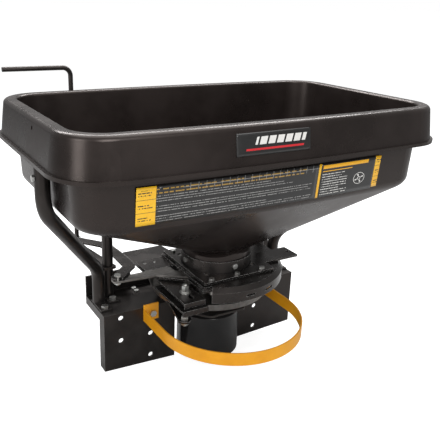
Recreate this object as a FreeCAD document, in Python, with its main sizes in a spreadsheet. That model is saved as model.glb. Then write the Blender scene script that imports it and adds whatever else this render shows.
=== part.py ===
import FreeCAD, Part
import math
import os
from types import SimpleNamespace

import Sketcher

# Mounted broadcast spreader: a moulded hopper over a slide gate, a spinner and its motor,
# carried by a bent steel bracket.  +X right, +Y towards the vehicle, +Z up.
# The origin is the centre of the eight mounting holes, on the bracket's rear face.

DIMENSIONS = [
    # hopper shell, from its own centre line
    ("hopper_long", 762, "lip length along X"),
    ("hopper_wide", 462, "lip width along Y at mid length"),
    ("hopper_y", -38, "hopper centre, Y"),
    ("corner_rad", 88, "lip corner radius in plan"),
    ("bow_rad", 6300, "plan radius of the bowed long sides"),
    ("lip_z", 412, "underside of the lip"),
    ("lip_thick", 6, "lip thickness"),
    ("lip_ledge", 4, "lip width outside the band"),
    ("rim_z", 480, "top of the rim"),
    ("band_lean", 9, "inward lean of the band from lip to rim"),
    ("band_wall", 5, "band wall"),
    ("body_inset", 30, "body outside, inward from the lip"),
    ("body_draft", 7, "further inset at the foot of the body wall"),
    ("body_wall", 6, "body and funnel wall"),
    ("body_foot_z", 328, "foot of the straight body wall"),
    ("foot_round", 22, "outside radius between body wall and funnel"),
    ("neck_round", 14, "outside radius between funnel and neck"),
    ("rim_round", 9, "radius of the rim's edges"),
    ("neck_half", 66, "half width of the neck"),
    ("neck_corner", 61, "neck corner radius"),
    ("neck_z", 196, "top of the straight neck"),
    ("neck_play", 0.4, "clearance between the neck and its band"),
    ("neck_band", 2.6, "thickness of the neck band"),
    ("end_hole_y", -82, "small hole in the left end of the band, Y"),
    ("end_hole_z", 464, "small hole in the left end of the band, Z"),
    # sheet metal
    ("plate", 4, "sheet thickness of plates and bracket"),
    ("gap", 0.5, "working clearance of sliding pieces"),
    # mounting bracket
    ("bracket_half", 232, "half length of the bracket"),
    ("bracket_in", 74, "half opening between the hole plates"),
    ("shelf_top", 63, "top of the shelf"),
    ("shelf_back", 98, "rear face of the shelf"),
    ("rear_top", 108, "top of the rear flange at its ends"),
    ("rear_mid", 82, "top of the rear flange behind the spinner"),
    ("rear_gap", 132, "half length of the low part of the rear flange"),
    ("side_lip", 18, "height of the shelf's side lips"),
    ("side_return", 25, "depth of the hole plates' side returns"),
    ("drop_outer", -62, "lower edge of a hole plate, outer end"),
    ("drop_inner", -69, "lower edge of a hole plate, inner end"),
    ("hole_outer", 196, "outer hole columns, X"),
    ("hole_inner", 130, "inner hole columns, X"),
    ("hole_pitch", 50.8, "vertical hole pitch"),
    ("hole_rad", 5.5, "mounting hole radius"),
    # slide gate
    ("house_half", 80, "half width of the gate housing plate"),
    ("house_front", -128, "front edge of the gate housing plate"),
    ("house_back", 52, "rear edge of the gate housing plate"),
    ("house_z", 147, "top of the gate housing plate"),
    ("port_half", 32, "half width of the port, X"),
    ("port_front", -96, "front edge of the port, Y"),
    ("port_back", -46, "rear edge of the port, Y"),
    ("gate_front", -100, "front edge of the gate blade, Y"),
    ("gate_back", -28, "rear edge of the gate blade, Y"),
    ("gate_overlap", 6, "cover of the closed gate past the port"),
    ("gate_travel", 70, "gate travel from open to closed"),
    ("bar_wide", 18, "width of the gate's pull bar"),
    ("rail_wide", 24.5, "width of the front gate rail"),
    ("ear_reach", 168, "tip of the neck plate's ear, X"),
    ("ear_front", -95, "front edge of the ear, Y"),
    ("ear_back", -48, "rear edge of the ear, Y"),
    ("neck_plate_z", 155, "top of the neck plate"),
    ("guide_back", 114, "rear edge of the guide plate's left wing"),
    ("guide_left", -141, "left edge of the bar guide"),
    # spinner and motor
    ("axis_y", -14, "spinner axis, Y"),
    ("shaft_rad", 6, "drive shaft radius"),
    ("spin_rad", 127, "spinner radius at the rim"),
    ("spin_foot", 120, "spinner radius at the floor"),
    ("spin_z", 90, "underside of the spinner"),
    ("spin_high", 16, "height of the spinner's rim"),
    ("spin_wall", 2.5, "spinner sheet"),
    ("skirt_rad", 150, "outer radius of the deflector skirt"),
    ("skirt_low", 121, "lower edge of the deflector skirt"),
    ("skirt_wall", 3, "deflector sheet"),
    ("can_rad", 66, "motor cover radius"),
    ("can_top", 40, "motor cover shoulder"),
    ("can_low", -52, "motor cover lower end"),
    ("can_wall", 2.5, "motor cover wall"),
    # pattern tray
    ("tray_left", -128, "left edge of the pattern tray"),
    ("tray_right", -84, "right edge of the pattern tray"),
    ("tray_front", -141, "front edge of the pattern tray"),
    ("tray_back", -30, "rear edge of the pattern tray"),
    ("tray_z", 131, "top of the pattern tray"),
    ("tray_lip", 10, "height of the tray's front lip"),
    ("tray_travel", 24, "travel of the pattern tray"),
    ("shelf_tray_z", 119, "top of the tray support"),
    ("stud_x", -104, "support stud, X"),
    ("stud_y", -99, "support stud, Y"),
    ("stud_rad", 4, "support stud radius"),
    # control rod and crank
    ("rod_x", -211, "control rod axis, X"),
    ("rod_y", 204, "control rod axis, Y"),
    ("rod_rad", 4.75, "control rod radius"),
    ("rod_top", 520, "height of the handle's centre line"),
    ("rod_low", 118, "lower end of the control rod"),
    ("handle_long", 134, "length of the handle"),
    ("handle_bend", 16, "bend radius of the handle"),
    ("run_fit", 0.06, "radial running clearance"),
    ("crank_z", 144, "underside of the crank arm"),
    ("pin_x", -205, "link pin, X, gate closed"),
    ("pin_y", -12, "link pin, Y"),
    ("pin_rad", 4, "link pin radius"),
    ("pin_play", 1.3, "radial play of the pin in the crank's slot"),
    ("arm_wide", 23, "width of the crank arm"),
    # tubes
    ("brace_rad", 12.7, "brace tube radius"),
    ("tube_wall", 2, "tube wall"),
    ("brace_x", 218.5, "brace foot, X"),
    ("brace_y", 57, "brace foot, Y"),
    ("brace_up_y", -88, "brace top, Y"),
    ("brace_bend", 62, "brace bend radius"),
    ("upright_rad", 11.1, "upright tube radius"),
    ("upright_x", 191, "upright, X"),
    ("upright_y", 75, "upright, Y"),
    ("upright_top", 236, "top of the upright"),
    # guard hoop
    ("hoop_half", 147, "half width of the guard hoop"),
    ("hoop_low", 33, "lower edge of the guard hoop"),
    ("hoop_high", 25.4, "strap width"),
    ("hoop_thick", 3, "strap thickness"),
    ("hoop_run", 92, "straight run of the hoop, from the plates"),
    ("tab_long", 33, "length of the hoop's end tabs"),
    ("tab_high", 36, "height of the hoop's end tabs"),
]


class Size:
    """A length that knows its value and the sheet expression it comes from."""

    def __init__(self, value, text):
        self.value = value
        self.text = text

    @staticmethod
    def of(item):
        """Wrap a plain number, or hand a Size back."""
        return item if isinstance(item, Size) else Size(float(item), f"({item})")

    def join(self, other, sign, value):
        return Size(value, f"({self.text} {sign} {other.text})")

    def __add__(self, other):
        other = Size.of(other)
        return self.join(other, "+", self.value + other.value)

    def __sub__(self, other):
        other = Size.of(other)
        return self.join(other, "-", self.value - other.value)

    def __mul__(self, other):
        other = Size.of(other)
        return self.join(other, "*", self.value * other.value)

    def __truediv__(self, other):
        other = Size.of(other)
        return self.join(other, "/", self.value / other.value)

    def __neg__(self):
        return Size(-self.value, f"(-{self.text})")

    def __radd__(self, other):
        return Size.of(other) + self

    def __rsub__(self, other):
        return Size.of(other) - self

    def __rmul__(self, other):
        return Size.of(other) * self

    def root(self):
        return Size(math.sqrt(self.value), f"sqrt({self.text})")


doc = FreeCAD.newDocument("spreader")
sheet = doc.addObject("Spreadsheet::Sheet", "Dims")
for row, (alias, number, note) in enumerate(DIMENSIONS, 1):
    sheet.set(f"A{row}", note)
    sheet.set(f"B{row}", str(number))
    sheet.setAlias(f"B{row}", alias)
doc.recompute()
D = SimpleNamespace(**{alias: Size(float(sheet.get(alias)), f"Dims.{alias}") for alias, _, _ in DIMENSIONS})

NODES = []
TURNS = {
    "Z": FreeCAD.Rotation(),
    "X": FreeCAD.Rotation(FreeCAD.Vector(0, 1, 0), 90),
    "Y": FreeCAD.Rotation(FreeCAD.Vector(1, 0, 0), -90),
    "-Z": FreeCAD.Rotation(FreeCAD.Vector(1, 0, 0), 180),
    "-Y": FreeCAD.Rotation(FreeCAD.Vector(1, 0, 0), 90),
    "-X": FreeCAD.Rotation(FreeCAD.Vector(0, 1, 0), -90),
}
OPPOSITE = {"X": "-X", "-X": "X", "Y": "-Y", "-Y": "Y", "Z": "-Z", "-Z": "Z"}


# ---------------------------------------------------------------- helpers

def node(item, label):
    """Name a finished sub-part and put it on the list of nodes."""
    item.Label = label
    NODES.append(item)
    return item


def bind(item, name, size):
    item.setExpression(name, Size.of(size).text)


def place(item, x, y, z, way="Z"):
    """Turn an object's own Z to a direction and bind its position."""
    item.Placement = FreeCAD.Placement(FreeCAD.Vector(), TURNS[way])
    for axis, size in zip("xyz", (x, y, z)):
        bind(item, f"Placement.Base.{axis}", size)
    return item


def box(x0, x1, y0, y1, z0, z1):
    item = doc.addObject("Part::Box", "Block")
    for name, low, high in (("Length", x0, x1), ("Width", y0, y1), ("Height", z0, z1)):
        bind(item, name, Size.of(high) - Size.of(low))
    return place(item, x0, y0, z0)


def rod(x, y, z, radius, height, way="Z"):
    item = doc.addObject("Part::Cylinder", "Round")
    bind(item, "Radius", radius)
    bind(item, "Height", height)
    return place(item, x, y, z, way)


def hexagon(x, y, z, radius, height, way="Z"):
    item = doc.addObject("Part::Prism", "Hex")
    item.Polygon = 6
    bind(item, "Circumradius", radius)
    bind(item, "Height", height)
    return place(item, x, y, z, way)


def fuse(items):
    item = doc.addObject("Part::MultiFuse", "Joined")
    item.Shapes = list(items)
    item.Refine = True
    return item


def cut(base, tools):
    item = doc.addObject("Part::Cut", "Trimmed")
    item.Base = base
    item.Tool = tools[0] if len(tools) == 1 else fuse(tools)
    item.Refine = True
    return item


def common(base, tool):
    item = doc.addObject("Part::Common", "Shared")
    item.Base = base
    item.Tool = tool
    item.Refine = True
    return item


def soften(item, pick, radius):
    """Fillet the edges that the test picks."""
    doc.recompute()
    names = [k for k, edge in enumerate(item.Shape.Edges, 1) if pick(edge)]
    fillet = doc.addObject("Part::Fillet", "Soft")
    fillet.Base = item
    fillet.Edges = [(k, Size.of(radius).value, Size.of(radius).value) for k in names]
    return fillet


def level(z):
    """Test for edges that lie at one height."""
    height = Size.of(z).value
    return lambda edge: all(abs(v.Point.z - height) < 1e-4 for v in edge.Vertexes)


def group(items):
    """Several separate solids under one name."""
    item = doc.addObject("Part::Compound", "Group")
    item.Links = list(items)
    return item


def pin_down(sketch, geo, point, x, y):
    """Fix a sketch point at bound coordinates."""
    for kind, axis, size in (("DistanceX", -2, Size.of(x)), ("DistanceY", -1, Size.of(y))):
        if abs(size.value) < 1e-9:
            sketch.addConstraint(Sketcher.Constraint("PointOnObject", geo, point, axis))
            continue
        index = sketch.addConstraint(Sketcher.Constraint(kind, -1, 1, geo, point, size.value))
        sketch.setExpression(f"Constraints[{index}]", size.text)


def draw_loop(sketch, points):
    """Closed outline of straight lines through bound points."""
    pts = [(Size.of(x), Size.of(y)) for x, y in points]
    first = sketch.GeometryCount
    for (x0, y0), (x1, y1) in zip(pts, pts[1:] + pts[:1]):
        start = FreeCAD.Vector(x0.value, y0.value, 0)
        end = FreeCAD.Vector(x1.value, y1.value, 0)
        sketch.addGeometry(Part.LineSegment(start, end), False)
    for k, (x, y) in enumerate(pts):
        before = first + (k - 1) % len(pts)
        sketch.addConstraint(Sketcher.Constraint("Coincident", before, 2, first + k, 1))
        pin_down(sketch, first + k, 1, x, y)


def draw_circle(sketch, x, y, radius):
    radius = Size.of(radius)
    centre = FreeCAD.Vector(Size.of(x).value, Size.of(y).value, 0)
    geo = sketch.addGeometry(Part.Circle(centre, FreeCAD.Vector(0, 0, 1), radius.value), False)
    pin_down(sketch, geo, 3, x, y)
    index = sketch.addConstraint(Sketcher.Constraint("Radius", geo, radius.value))
    sketch.setExpression(f"Constraints[{index}]", radius.text)


def sheet_part(points, low, high, holes=(), windows=(), round_off=None, plane="XY_Plane"):
    """Flat piece: outline, round holes and windows drawn in one sketch, then padded."""
    body = doc.addObject("PartDesign::Body", "Sheet")
    sketch = body.newObject("Sketcher::SketchObject", "Outline")
    base = [f for f in body.Origin.OriginFeatures if f.Role == plane][0]
    sketch.AttachmentSupport = [(base, "")]
    sketch.MapMode = "FlatFace"
    low, high = Size.of(low), Size.of(high)
    offset = -high if plane == "XZ_Plane" else low
    sketch.setExpression("AttachmentOffset.Base.z", offset.text)
    draw_loop(sketch, points)
    for loop in windows:
        draw_loop(sketch, loop)
    for x, y, radius in holes:
        draw_circle(sketch, x, y, radius)
    pad = body.newObject("PartDesign::Pad", "Thickness")
    pad.Profile = sketch
    bind(pad, "Length", high - low)
    doc.recompute()
    if round_off is not None:
        dress(body, pad, points, round_off, plane)
    return body


def dress(body, pad, points, radius, plane):
    """Fillet the upright edges at the outline's own corners."""
    names = []
    for k, edge in enumerate(pad.Shape.Edges, 1):
        if len(edge.Vertexes) < 2:
            continue
        a, b = edge.Vertexes[0].Point, edge.Vertexes[1].Point
        flat = (a - b).y == 0 if plane == "XY_Plane" else (a - b).z == 0
        along = abs((a - b).z) if plane == "XY_Plane" else abs((a - b).y)
        if along < 1e-6 or abs((a - b).x) > 1e-6 or not flat:
            continue
        second = a.y if plane == "XY_Plane" else a.z
        for x, y in points:
            if abs(a.x - Size.of(x).value) < 1e-4 and abs(second - Size.of(y).value) < 1e-4:
                names.append(f"Edge{k}")
                break
    fillet = body.newObject("PartDesign::Fillet", "Corners")
    fillet.Base = (pad, names)
    bind(fillet, "Radius", radius)


def fastener(x, y, z, way, reach, shank, head, thick, nut_at=None):
    """Hex-headed bolt: the head stands out along way, the shank goes the other way."""
    back = OPPOSITE[way]
    pieces = [hexagon(x, y, z, head, thick, way), rod(x, y, z, shank, reach, back)]
    if nut_at is not None:
        x1, y1, z1 = nut_at
        pieces.append(hexagon(x1, y1, z1, head, thick, back))
    return fuse(pieces)


def mirrored(x):
    return (x, -x)


def bent_tube(points, radius, bend, wall=None):
    """Round bar or tube along straight runs joined by tangent arcs."""
    runs = [FreeCAD.Vector(*[Size.of(c).value for c in p]) for p in points]
    edges, start = [], runs[0]
    for before, corner, after in zip(runs, runs[1:], runs[2:]):
        u = (before - corner).normalize()
        v = (after - corner).normalize()
        half = u.getAngle(v) / 2
        reach = bend.value / math.tan(half)
        a, b = corner + u * reach, corner + v * reach
        mid = corner + (u + v).normalize() * (bend.value / math.sin(half) - bend.value)
        edges.append(Part.LineSegment(start, a).toShape())
        edges.append(Part.Arc(a, mid, b).toShape())
        start = b
    edges.append(Part.LineSegment(start, runs[-1]).toShape())
    path = Part.Wire(edges)
    way = runs[1] - runs[0]

    def swept(r):
        ring = Part.Wire(Part.Circle(runs[0], way, r).toShape())
        return path.makePipeShell([ring], True, True)

    solid = swept(radius.value)
    if wall is not None:
        solid = solid.cut(swept(radius.value - wall.value))
    return solid


def shape_node(label, shape):
    item = doc.addObject("Part::Feature", "Formed")
    item.Shape = shape
    item.Placement = FreeCAD.Placement()
    return node(item, label)


# ---------------------------------------------------------------- hopper

def outline(half_x, half_y, corner, bow, z, middle):
    """Rounded rectangle in plan; its long sides are wide arcs tangent to the corners."""
    half_x, half_y, corner, bow = (Size.of(size) for size in (half_x, half_y, corner, bow))
    sketch = doc.addObject("Sketcher::SketchObject", "Plan")
    reach = half_x.value - corner.value
    deep = math.sqrt((bow.value - corner.value) ** 2 - reach ** 2)
    wide_y = half_y.value - bow.value
    corner_y = wide_y + deep
    lean = math.atan2(reach, deep)
    arcs = [
        (reach, corner_y, corner, 0, math.pi / 2 - lean),
        (0, wide_y, bow, math.pi / 2 - lean, math.pi / 2 + lean),
        (-reach, corner_y, corner, math.pi / 2 + lean, math.pi),
        (-reach, -corner_y, corner, math.pi, 1.5 * math.pi - lean),
        (0, -wide_y, bow, 1.5 * math.pi - lean, 1.5 * math.pi + lean),
        (reach, -corner_y, corner, 1.5 * math.pi + lean, 2 * math.pi),
    ]
    for x, y, radius, start, end in arcs:
        circle = Part.Circle(FreeCAD.Vector(x, y, 0), FreeCAD.Vector(0, 0, 1), radius.value)
        geo = sketch.addGeometry(Part.ArcOfCircle(circle, start, end), False)
        index = sketch.addConstraint(Sketcher.Constraint("Radius", geo, radius.value))
        sketch.setExpression(f"Constraints[{index}]", radius.text)
    for side in (-1, 1):
        start = FreeCAD.Vector(side * half_x.value, -side * corner_y, 0)
        end = FreeCAD.Vector(side * half_x.value, side * corner_y, 0)
        sketch.addGeometry(Part.LineSegment(start, end), False)
    left, right = 6, 7
    pin_down(sketch, 1, 3, 0, half_y - bow)
    pin_down(sketch, 4, 3, 0, bow - half_y)
    for a, b in ((0, 1), (1, 2), (2, left), (left, 3), (3, 4), (4, 5), (5, right), (right, 0)):
        sketch.addConstraint(Sketcher.Constraint("Tangent", a, 2, b, 1))
    for line, size in ((left, -half_x), (right, half_x)):
        sketch.addConstraint(Sketcher.Constraint("Vertical", line))
        index = sketch.addConstraint(Sketcher.Constraint("DistanceX", -1, 1, line, 1, size.value))
        sketch.setExpression(f"Constraints[{index}]", size.text)
    return place(sketch, 0, middle, z)


def loft(sections):
    item = doc.addObject("Part::Loft", "Draft")
    item.Sections = sections
    item.Solid = True
    item.Ruled = True
    return item


def hopper_plan(inset, z):
    """Plan outline at a distance inside the lip."""
    inset = Size.of(inset)
    half_x = D.hopper_long / 2 - inset
    half_y = D.hopper_wide / 2 - inset
    return outline(half_x, half_y, D.corner_rad - inset, D.bow_rad - inset, z, D.hopper_y)


def neck_plan(inset, z):
    inset = Size.of(inset)
    half = D.neck_half - inset
    return outline(half, half, D.neck_corner - inset, D.bow_rad - inset, z, D.hopper_y)


def build_hopper():
    """Hollow rim band around a tapering body, funnel and neck, all one moulding."""
    lip_top = D.lip_z + D.lip_thick
    foot = D.body_inset + D.body_draft
    band_low = D.lip_ledge
    band_high = D.lip_ledge + D.band_lean
    wall = D.body_wall
    lip = loft([hopper_plan(0, D.lip_z), hopper_plan(0, lip_top)])
    band = loft([hopper_plan(band_low, D.lip_z), hopper_plan(band_high, D.rim_z)])
    band = soften(band, level(D.rim_z), D.rim_round)
    hollow = loft([
        hopper_plan(band_low + D.band_wall, D.lip_z - 1),
        hopper_plan(band_high + D.band_wall, D.rim_z - wall),
    ])
    outer = tapered(0, foot, D.rim_z - wall, D.house_z, D.foot_round, D.neck_round)
    inside = tapered(wall, foot, D.rim_z + 1, D.house_z - 1, D.foot_round - wall, D.neck_round + wall)
    shell = cut(fuse([lip, band]), [hollow])
    drill = [rod(-D.hopper_long / 2 - 5, D.end_hole_y, D.end_hole_z, 3.5, 25, "X")]
    for side, way in ((-1, "-X"), (1, "X")):
        drill.append(rod((end_wall_x() - 15) * side, D.brace_up_y, brace_bolt_z(), M6 + 0.4, 30, way))
    for x, y, way in neck_bolt_points():
        drill.append(rod(x, y, neck_bolt_z(), M6 + 0.4, 14, OPPOSITE[way]))
    moulding = soften(cut(fuse([shell, outer]), [inside]), opening_edge, D.rim_round / 2)
    node(cut(moulding, drill), "hopper")
    return outer


def opening_edge(edge):
    """Inner edges of the rim."""
    inset = (D.body_inset + D.body_wall).value
    spot = edge.Vertexes[0].Point
    reach = D.hopper_long.value / 2 - inset + 1
    long_enough = edge.BoundBox.YLength + edge.BoundBox.XLength > 5
    return level(D.rim_z)(edge) and abs(spot.x) < reach and long_enough


def tapered(wall, foot, top, low, foot_round, neck_round):
    """Solid body, funnel and neck, each a wall thickness inside the outside, in one piece."""
    solid = fuse([
        loft([hopper_plan(D.body_inset + wall, top), hopper_plan(foot + wall, D.body_foot_z)]),
        loft([hopper_plan(foot + wall, D.body_foot_z), neck_plan(wall, D.neck_z)]),
        loft([neck_plan(wall, D.neck_z), neck_plan(wall, low)]),
    ])
    solid = soften(solid, level(D.body_foot_z), foot_round)
    return soften(solid, level(D.neck_z), neck_round)


def brace_bolt_z():
    return D.lip_z - 26


def end_wall_x():
    """Outside of the body's end wall at the height of the brace bolts."""
    fall = D.rim_z - brace_bolt_z()
    return D.hopper_long / 2 - D.body_inset - D.body_draft * fall / (D.rim_z - D.body_foot_z)


def neck_bolt_z():
    return D.house_z + 21


def neck_bolt_points():
    """Where the four neck bolts meet the band, and the way their heads face."""
    reach = D.neck_half + D.neck_play + D.neck_band
    return [(-reach, D.hopper_y, "-X"), (reach, D.hopper_y, "X"),
            (0, D.hopper_y - reach, "-Y"), (0, D.hopper_y + reach, "Y")]


# ---------------------------------------------------------------- bracket

def build_bracket():
    """One bent sheet: shelf, rear flange, side lips and two hanging hole plates."""
    half, t = D.bracket_half, D.plate
    shelf_low = D.shelf_top - t
    notch_half, notch_deep = 42, 26
    solids = [
        box(-half, half, -t, D.shelf_back, shelf_low, D.shelf_top),
        box(-half, half, D.shelf_back - t, D.shelf_back, shelf_low, D.rear_mid),
    ]
    for side in (-1, 1):
        out, inn = half * side, D.bracket_in * side
        wall = (out, out - t * side) if side > 0 else (out, out + t)
        low, high = (wall[1], wall[0]) if side > 0 else (wall[0], wall[1])
        solids.append(box(low, high, -t, D.shelf_back, D.shelf_top - D.side_lip, D.shelf_top))
        ends = (-half, -D.rear_gap) if side < 0 else (D.rear_gap, half)
        solids.append(box(ends[0], ends[1], D.shelf_back - t, D.shelf_back, shelf_low, D.rear_top))
        solids.append(box(low, high, -t, D.side_return - t, D.drop_outer, D.shelf_top))
        corners = [(out, D.shelf_top), (inn, D.shelf_top), (inn, D.drop_inner), (out, D.drop_outer)]
        solids.append(sheet_part(corners, -t, 0, plane="XZ_Plane"))
    holes = []
    for x in mirrored(D.hole_outer):
        holes += [rod(x, 5, z, D.hole_rad, 20, "-Y") for z in (D.hole_pitch, 0)]
    for x in mirrored(D.hole_inner):
        holes += [rod(x, 5, z, D.hole_rad, 20, "-Y") for z in (-D.hole_pitch, 0)]
    for x in mirrored(tab_bolt_x()):
        holes.append(rod(x, 5, tab_bolt_z(), TAB_BOLT + 0.4, 20, "-Y"))
    for x, y, radius in shelf_bolts():
        holes.append(rod(x, y, shelf_low - 5, radius, 20))
    holes.append(box(-notch_half, notch_half, -t - 1, notch_deep, shelf_low - 1, D.shelf_top + 1))
    node(cut(fuse(solids), holes), "mounting_bracket")


M8, M8_HEAD, M8_THICK = 4, 7.4, 5.3
M6, M6_HEAD, M6_THICK = 3, 5.8, 4
TAB_BOLT = 4


def tab_bolt_x():
    return D.hoop_half - D.tab_long / 2 - D.hoop_thick


def tab_bolt_z():
    return D.hoop_low + D.tab_high * 0.42


def motor_bolt_points():
    return [(x, y) for x in (-54, 54) for y in (34, 48)]


def foot_points():
    return [(x, D.brace_y - 33) for x in mirrored(D.brace_x)] + \
        [(x, D.upright_y - 24) for x in mirrored(D.upright_x)]


def arm_points():
    return [(-86, 6), (-86, 30)]


def clip_points():
    return [(-130, 68), (-130, 82)]


def shelf_bolts():
    """Holes through the shelf with the radius of each."""
    large = [(x, y, M8 + 0.4) for x, y in motor_bolt_points() + foot_points()]
    return large + [(x, y, M6 + 0.4) for x, y in arm_points() + clip_points()]


def build_tubes():
    """Two braces from the shelf to the hopper's ends and two uprights under the funnel."""
    foot_z = D.shelf_top + D.plate
    end_x = end_wall_x() + D.brace_rad + 1.4
    for name, side in (("left", -1), ("right", 1)):
        points = [
            (end_x * side, D.brace_up_y, D.lip_z - 8),
            (end_x * side, D.brace_up_y, D.lip_z - 84),
            (D.brace_x * side, D.brace_y, foot_z + 70),
            (D.brace_x * side, D.brace_y, foot_z),
        ]
        tube = bent_tube(points, D.brace_rad, D.brace_bend, D.tube_wall)
        centre = FreeCAD.Vector((end_x.value - 20) * side, D.brace_up_y.value, brace_bolt_z().value)
        drill = Part.makeCylinder(M6 + 0.4, 40, centre, FreeCAD.Vector(side, 0, 0))
        shape_node(f"{name}_brace_tube", tube.cut(drill))
    for name, side in (("left", -1), ("right", 1)):
        x, y = D.upright_x * side, D.upright_y
        outer = rod(x, y, foot_z, D.upright_rad, D.upright_top - foot_z)
        inner = rod(x, y, foot_z - 1, D.upright_rad - D.tube_wall, D.upright_top - foot_z + 2)
        node(cut(outer, [inner]), f"{name}_upright")
    for name, side in (("left", -1), ("right", 1)):
        feet = []
        for x, y, reach in ((D.brace_x, D.brace_y, 33), (D.upright_x, D.upright_y, 24)):
            half = 12
            plate = box(x * side - half, x * side + half, y - reach - 10, y + 13, D.shelf_top, foot_z)
            feet.append(cut(plate, [rod(x * side, y - reach, D.shelf_top - 1, M8 + 0.4, D.plate + 2)]))
        node(group(feet), f"{name}_tube_feet")
    bolts = [
        fastener(x, y, foot_z, "Z", 18, M8, M8_HEAD, M8_THICK, (x, y, D.shelf_top - D.plate))
        for x, y in foot_points()
    ]
    node(group(bolts), "foot_bolts")
    caps = []
    for side, way in ((-1, "-X"), (1, "X")):
        x = (end_x + D.brace_rad) * side
        inner = (end_wall_x() - D.body_wall - 0.4) * side
        reach = D.brace_rad * 2 + 14
        caps.append(fastener(x, D.brace_up_y, brace_bolt_z(), way, reach, M6, M6_HEAD, M6_THICK,
                             (inner, D.brace_up_y, brace_bolt_z())))
    node(group(caps), "brace_bolts")


def build_pads(hopper_solid):
    """Rubber pads shaped to the funnel, one on each upright."""
    for name, side in (("left", -1), ("right", 1)):
        x, y = D.upright_x * side, D.upright_y
        block = rod(x, y, D.upright_top, D.upright_rad + 3, 60)
        node(cut(block, [hopper_solid]), f"{name}_upright_pad")


# ---------------------------------------------------------------- gate

def rail_low():
    """Top of the guide plate: the gate's own thickness and two clearances below the housing."""
    return D.house_z - D.plate - D.plate - D.gap * 2


def stack_points():
    """Long bolts through the guide plate, rails, housing plate and neck plate: front, then rear."""
    front = [(x, D.house_front + 10) for x in (-58, 0, 58)]
    return front, [(x, D.house_back - 16) for x in (-60, 60)]


def guide_screws():
    return [(D.guide_left + 13, D.house_back - 22), (D.guide_left + 35, D.house_back - 22)]


def build_housing():
    """Housing plate over the gate, guide plate under it and the rails between them."""
    t, half = D.plate, D.house_half
    port = [
        (-D.port_half, D.port_front), (D.port_half, D.port_front),
        (D.port_half, D.port_back), (-D.port_half, D.port_back),
    ]
    stack = sum(stack_points(), [])
    bolts = [(x, y, M6 + 0.4) for x, y in stack] + [(0, D.axis_y, D.shaft_rad + 2)]
    top = [(-half, D.house_front), (half, D.house_front), (half, D.house_back), (-half, D.house_back)]
    holes = bolts + [(x, y, 2.8) for x, y in band_screws()]
    node(sheet_part(top, D.house_z - t, D.house_z, holes, [port], 4), "gate_housing_plate")

    low = rail_low()
    front = D.gate_front - D.rail_wide
    left, inner = D.guide_left, D.house_back - 6
    guide = [
        (left, D.guide_back), (left, D.pin_y + 12), (left + 17, D.pin_y + 12), (left + 17, D.pin_y - 18),
        (-half, D.gate_back - 40), (-half, front),
        (half, front), (half, inner), (-half + 40, inner), (-half + 30, D.guide_back),
    ]
    screws = [(x, y, M6 + 0.2) for x, y in guide_screws()]
    node(sheet_part(guide, low - t, low, bolts + screws, [port]), "gate_guide_plate")

    bar_back = D.pin_y + D.bar_wide / 2
    strips = [
        box(-half, half, front, D.gate_front - D.gap, low, D.house_z - t),
        box(left, -half + 60, bar_back + D.gap, inner, low, D.house_z - t),
        box(14, half, D.gate_back + D.gap, inner, low, D.house_z - t),
    ]
    drill = [rod(x, y, low - 1, M6 + 0.4, 20) for x, y in stack]
    drill += [rod(x, y, low - 1, M6 + 0.2, 20) for x, y in guide_screws()]
    node(cut(group(strips), drill), "gate_rails")
    heads = [fastener(x, y, low - t, "-Z", 8, M6, M6_HEAD, 3) for x, y in guide_screws()]
    node(group(heads), "guide_screws")
    build_neck_band()
    build_neck_plate()


def band_screws():
    """Four screws in the neck band's flange, on the diagonals."""
    reach = (D.neck_half + 10) * 0.7071
    return [(x, D.hopper_y + y) for x in mirrored(reach) for y in mirrored(reach)]


def build_neck_band():
    """Flanged band round the neck, screwed to the housing plate and bolted to the neck."""
    inner = D.neck_half + D.neck_play
    corner = D.neck_corner + D.neck_play
    outer = inner + D.neck_band
    foot, top = D.house_z, D.house_z + 31

    def plan(half, rad, z):
        return outline(half, half, rad, D.bow_rad, z, D.hopper_y)

    wall = loft([plan(outer, corner + D.neck_band, foot), plan(outer, corner + D.neck_band, top)])
    disc = rod(0, D.hopper_y, foot, D.neck_half + 16, 3)
    flange = common(disc, box(2 - D.house_half, D.house_half - 2, D.gate_front - 4, 200, foot, foot + 3))
    hole = loft([plan(inner, corner, foot - 1), plan(inner, corner, top + 1)])
    drill = [rod(x, y, foot - 1, 2.8, 10) for x, y in band_screws()]
    for x, y, way in neck_bolt_points():
        drill.append(rod(x, y, neck_bolt_z(), M6 + 0.4, 12, OPPOSITE[way]))
    node(cut(fuse([wall, flange]), [hole] + drill), "neck_band")
    screws = [fastener(x, y, foot + 3, "Z", D.plate + 2.8, 2.5, 4.6, 3) for x, y in band_screws()]
    node(group(screws), "band_screws")
    bolts = []
    for x, y, way in neck_bolt_points():
        bolts.append(fastener(x, y, neck_bolt_z(), way, 15, M6, M6_HEAD, M6_THICK))
    node(group(bolts), "neck_bolts")


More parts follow.
